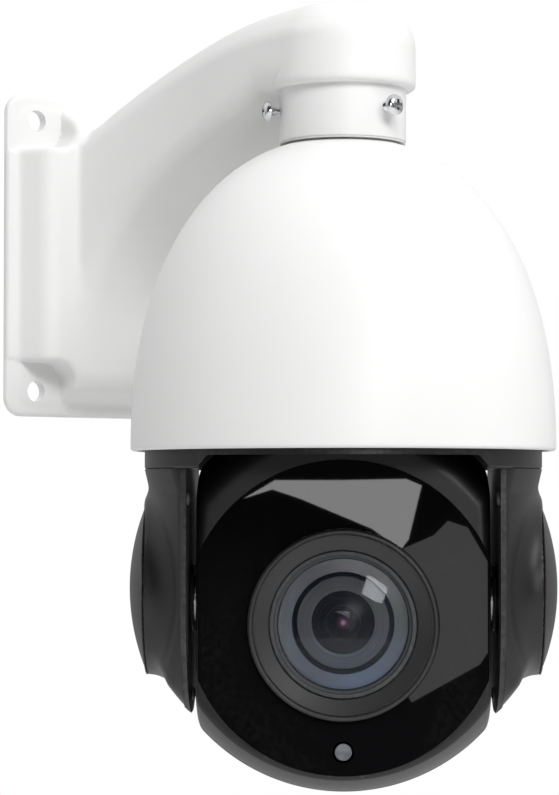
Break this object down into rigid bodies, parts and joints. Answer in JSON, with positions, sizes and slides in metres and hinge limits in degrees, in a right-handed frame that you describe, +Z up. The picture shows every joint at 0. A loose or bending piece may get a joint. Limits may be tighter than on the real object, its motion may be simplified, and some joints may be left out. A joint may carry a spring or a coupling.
{
  "type": "ptz camera",
  "caption": "Pan-tilt-zoom dome camera on a gooseneck wall bracket, with a yoke-hung ball head, black front glass and a zoom lens.",
  "frame": {"origin": "centre of the wall plate's back face, on the wall", "axes": "+Y into the wall, +Z up, the arm reaches out along -Y; the pan axis is parallel to Z"},
  "size_m": [0.165, 0.2205, 0.3045],
  "materials": {
    "white_paint": "fine satin powder coat",
    "zinc_steel": "bright plated steel",
    "plain_aluminium": "turned",
    "sheet_steel": "plated sheet",
    "seal_rubber": "matt",
    "circuit_board": "solder mask",
    "board_part": "moulded",
    "brass": "turned",
    "motor_can": "drawn steel can",
    "black_moulding": "fine texture",
    "satin_black": "satin moulding",
    "black_glass": "polished, smoked black",
    "lens_trim": "anodised black",
    "coated_lens": "coated glass",
    "clear_window": "clear",
    "lens_cell": "anodised grey"
  },
  "bodies": {
    "fixed": {"wall_bracket": "white_paint", "neck_screws": "zinc_steel", "neck_stub": "plain_aluminium", "neck_seal": "seal_rubber", "flange_gasket": "seal_rubber", "flange_screws": "zinc_steel", "dome_housing": "white_paint", "pan_seal": "seal_rubber", "chassis_plate": "sheet_steel", "chassis_screws": "zinc_steel", "bearing_housing": "plain_aluminium", "bearing_housing_screws": "zinc_steel", "pan_bearing_outer_rings": "zinc_steel", "main_board": "circuit_board", "main_board_parts": "board_part", "board_standoffs": "brass", "board_screws": "zinc_steel", "slip_ring_body": "black_moulding", "pan_motor": "motor_can", "pan_belt": "seal_rubber"},
    "pan_motor_rotor": {"pan_motor_pulley": "plain_aluminium"},
    "pan": {"turntable": "satin_black", "pan_shaft": "plain_aluminium", "pan_shaft_screws": "zinc_steel", "pan_shaft_nut": "zinc_steel", "pan_pulley": "plain_aluminium", "pan_bearing_inner_rings": "zinc_steel", "pan_bearing_balls": "zinc_steel", "slip_ring_rotor": "black_moulding", "yoke_arm_left": "satin_black", "yoke_arm_right": "satin_black", "arm_cover_left": "black_moulding", "arm_cover_right": "black_moulding", "ear_cap_left": "satin_black", "ear_cap_right": "satin_black", "arm_screws": "zinc_steel", "cover_screws": "zinc_steel", "tilt_bushes": "black_moulding", "tilt_motor": "motor_can", "tilt_motor_bracket": "sheet_steel", "tilt_belt": "seal_rubber"},
    "tilt_motor_rotor": {"tilt_motor_pulley": "plain_aluminium"},
    "head": {"head_front_shell": "satin_black", "head_rear_shell": "satin_black", "head_screws": "zinc_steel", "front_glass": "black_glass", "glass_seal": "seal_rubber", "tilt_axle_left": "plain_aluminium", "tilt_axle_right": "plain_aluminium", "axle_clips": "zinc_steel", "tilt_pulley": "plain_aluminium", "lens_ring": "lens_trim", "lens_barrel": "lens_trim", "front_element": "coated_lens", "zoom_module": "black_moulding", "module_bracket": "sheet_steel", "sensor_board": "circuit_board", "sensor_window": "clear_window"},
    "zoom_cell": {"zoom_group": "lens_cell"},
    "focus_cell": {"focus_group": "lens_cell"}
  },
  "joints": [
    {"name": "pan", "type": "hinge", "parent": "fixed", "child": "pan", "pos_m": [0, -0.138, 0], "axis": [0, 0, 1], "continuous": true},
    {"name": "tilt", "type": "hinge", "parent": "pan", "child": "head", "pos_m": [0, -0.138, -0.1392], "axis": [0.7431, -0.6691, 0], "range_deg": [-15, 90]},
    {"name": "zoom", "type": "slide", "parent": "head", "child": "zoom_cell", "axis": [0.6691, 0.7431, 0], "range_m": [-0.006, 0.016]},
    {"name": "focus", "type": "slide", "parent": "head", "child": "focus_cell", "axis": [0.6691, 0.7431, 0], "range_m": [-0.005, 0.006]},
    {"name": "pan_motor_spin", "type": "hinge", "parent": "fixed", "child": "pan_motor_rotor", "pos_m": [0, -0.1, 0], "axis": [0, 0, 1], "continuous": true},
    {"name": "tilt_motor_spin", "type": "hinge", "parent": "pan", "child": "tilt_motor_rotor", "pos_m": [0, -0.138, -0.0405], "axis": [0.7431, -0.6691, 0], "range_deg": [-51, 301]}
  ],
  "couplings": [
    {"joint": "pan_motor_spin", "follows": "pan", "ratio": 5},
    {"joint": "tilt_motor_spin", "follows": "tilt", "ratio": 3.3333}
  ]
}
